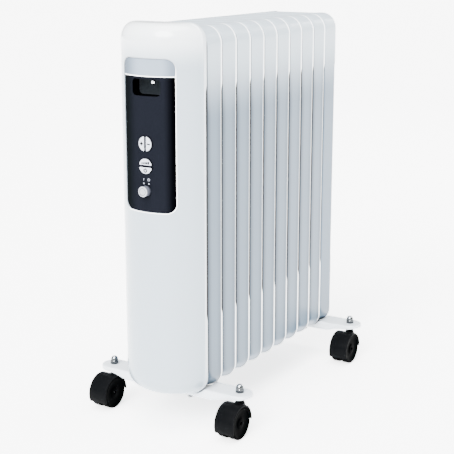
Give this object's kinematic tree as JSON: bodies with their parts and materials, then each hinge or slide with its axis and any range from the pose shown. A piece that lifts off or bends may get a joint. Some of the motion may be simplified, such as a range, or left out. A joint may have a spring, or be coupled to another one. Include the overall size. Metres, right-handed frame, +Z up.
{
  "type": "oil filled radiator heater",
  "caption": "Finned oil filled radiator heater with a rounded white control housing, dark touch panel and twin-wheel casters on stamped feet.",
  "frame": {"origin": "on the floor, in the middle of the footprint of the bounding box", "axes": "+Z up, the control panel faces -Y, the fins are stacked along +Y, +X is to the right seen from the front"},
  "size_m": [0.288, 0.503, 0.643],
  "materials": {
    "housing_white": "gloss",
    "fin_paint": "semi-gloss powder coat",
    "window_grey": "gloss",
    "panel_black": "gloss",
    "key_white": "satin",
    "black_plastic": "satin",
    "caster_black": "satin",
    "wheel_black": "satin",
    "bright_steel": "bright plated",
    "brass": "machined",
    "board_green": "solder mask"
  },
  "bodies": {
    "heater": {"fin_01": "fin_paint", "fin_02": "fin_paint", "fin_03": "fin_paint", "fin_04": "fin_paint", "fin_05": "fin_paint", "fin_06": "fin_paint", "fin_07": "fin_paint", "fin_08": "fin_paint", "fin_09": "fin_paint", "fin_10": "fin_paint", "rear_cover": "fin_paint", "front_foot": "fin_paint", "rear_foot": "fin_paint", "front_cover": "housing_white", "display_window": "window_grey", "control_panel": "panel_black", "filler_plug": "brass", "immersion_heater": "brass", "panel_screw": "bright_steel", "front_hook_bolt": "bright_steel", "front_wing_nut": "bright_steel", "rear_hook_bolt": "bright_steel", "rear_wing_nut": "bright_steel", "cord_gland": "black_plastic", "main_switch_body": "black_plastic", "display_module": "black_plastic", "tip_over_switch": "black_plastic", "control_board": "board_green", "power_board": "board_green", "thermal_cutout": "bright_steel", "caster_front_left_stud": "bright_steel", "caster_front_left_nut": "bright_steel", "caster_front_right_stud": "bright_steel", "caster_front_right_nut": "bright_steel", "caster_rear_left_stud": "bright_steel", "caster_rear_left_nut": "bright_steel", "caster_rear_right_stud": "bright_steel", "caster_rear_right_nut": "bright_steel"},
    "plus_key": {"plus_key": "key_white"},
    "minus_key": {"minus_key": "key_white"},
    "mode_key": {"mode_key": "key_white"},
    "power_key": {"power_key": "key_white"},
    "main_switch": {"main_switch_button": "key_white"},
    "caster_front_left": {"caster_front_left_hood": "caster_black", "caster_front_left_axle": "bright_steel"},
    "caster_front_left_left_wheel": {"caster_front_left_wheel_left": "wheel_black"},
    "caster_front_left_right_wheel": {"caster_front_left_wheel_right": "wheel_black"},
    "caster_front_right": {"caster_front_right_hood": "caster_black", "caster_front_right_axle": "bright_steel"},
    "caster_front_right_left_wheel": {"caster_front_right_wheel_left": "wheel_black"},
    "caster_front_right_right_wheel": {"caster_front_right_wheel_right": "wheel_black"},
    "caster_rear_left": {"caster_rear_left_hood": "caster_black", "caster_rear_left_axle": "bright_steel"},
    "caster_rear_left_left_wheel": {"caster_rear_left_wheel_left": "wheel_black"},
    "caster_rear_left_right_wheel": {"caster_rear_left_wheel_right": "wheel_black"},
    "caster_rear_right": {"caster_rear_right_hood": "caster_black", "caster_rear_right_axle": "bright_steel"},
    "caster_rear_right_left_wheel": {"caster_rear_right_wheel_left": "wheel_black"},
    "caster_rear_right_right_wheel": {"caster_rear_right_wheel_right": "wheel_black"}
  },
  "joints": [
    {"name": "plus_key_press", "type": "slide", "parent": "heater", "child": "plus_key", "axis": [0, 1, 0], "range_m": [0, 0.001], "stiffness_N_per_m": 800},
    {"name": "minus_key_press", "type": "slide", "parent": "heater", "child": "minus_key", "axis": [0, 1, 0], "range_m": [0, 0.001], "stiffness_N_per_m": 800},
    {"name": "mode_key_press", "type": "slide", "parent": "heater", "child": "mode_key", "axis": [0, 1, 0], "range_m": [0, 0.001], "stiffness_N_per_m": 800},
    {"name": "power_key_press", "type": "slide", "parent": "heater", "child": "power_key", "axis": [0, 1, 0], "range_m": [0, 0.001], "stiffness_N_per_m": 800},
    {"name": "main_switch_press", "type": "slide", "parent": "heater", "child": "main_switch", "axis": [0, 1, 0], "range_m": [0, 0.004], "stiffness_N_per_m": 600},
    {"name": "caster_front_left_swivel", "type": "hinge", "parent": "heater", "child": "caster_front_left", "pos_m": [-0.123, -0.1695, 0.06], "axis": [0, 0, 1], "continuous": true},
    {"name": "caster_front_left_left_wheel_spin", "type": "hinge", "parent": "caster_front_left", "child": "caster_front_left_left_wheel", "pos_m": [-0.123, -0.19, 0.0265], "axis": [1, 0, 0], "continuous": true},
    {"name": "caster_front_left_right_wheel_spin", "type": "hinge", "parent": "caster_front_left", "child": "caster_front_left_right_wheel", "pos_m": [-0.123, -0.19, 0.0265], "axis": [1, 0, 0], "continuous": true},
    {"name": "caster_front_right_swivel", "type": "hinge", "parent": "heater", "child": "caster_front_right", "pos_m": [0.123, -0.1695, 0.06], "axis": [0, 0, 1], "continuous": true},
    {"name": "caster_front_right_left_wheel_spin", "type": "hinge", "parent": "caster_front_right", "child": "caster_front_right_left_wheel", "pos_m": [0.123, -0.19, 0.0265], "axis": [1, 0, 0], "continuous": true},
    {"name": "caster_front_right_right_wheel_spin", "type": "hinge", "parent": "caster_front_right", "child": "caster_front_right_right_wheel", "pos_m": [0.123, -0.19, 0.0265], "axis": [1, 0, 0], "continuous": true},
    {"name": "caster_rear_left_swivel", "type": "hinge", "parent": "heater", "child": "caster_rear_left", "pos_m": [-0.123, 0.2305, 0.06], "axis": [0, 0, 1], "continuous": true},
    {"name": "caster_rear_left_left_wheel_spin", "type": "hinge", "parent": "caster_rear_left", "child": "caster_rear_left_left_wheel", "pos_m": [-0.123, 0.21, 0.0265], "axis": [1, 0, 0], "continuous": true},
    {"name": "caster_rear_left_right_wheel_spin", "type": "hinge", "parent": "caster_rear_left", "child": "caster_rear_left_right_wheel", "pos_m": [-0.123, 0.21, 0.0265], "axis": [1, 0, 0], "continuous": true},
    {"name": "caster_rear_right_swivel", "type": "hinge", "parent": "heater", "child": "caster_rear_right", "pos_m": [0.123, 0.2305, 0.06], "axis": [0, 0, 1], "continuous": true},
    {"name": "caster_rear_right_left_wheel_spin", "type": "hinge", "parent": "caster_rear_right", "child": "caster_rear_right_left_wheel", "pos_m": [0.123, 0.21, 0.0265], "axis": [1, 0, 0], "continuous": true},
    {"name": "caster_rear_right_right_wheel_spin", "type": "hinge", "parent": "caster_rear_right", "child": "caster_rear_right_right_wheel", "pos_m": [0.123, 0.21, 0.0265], "axis": [1, 0, 0], "continuous": true}
  ]
}
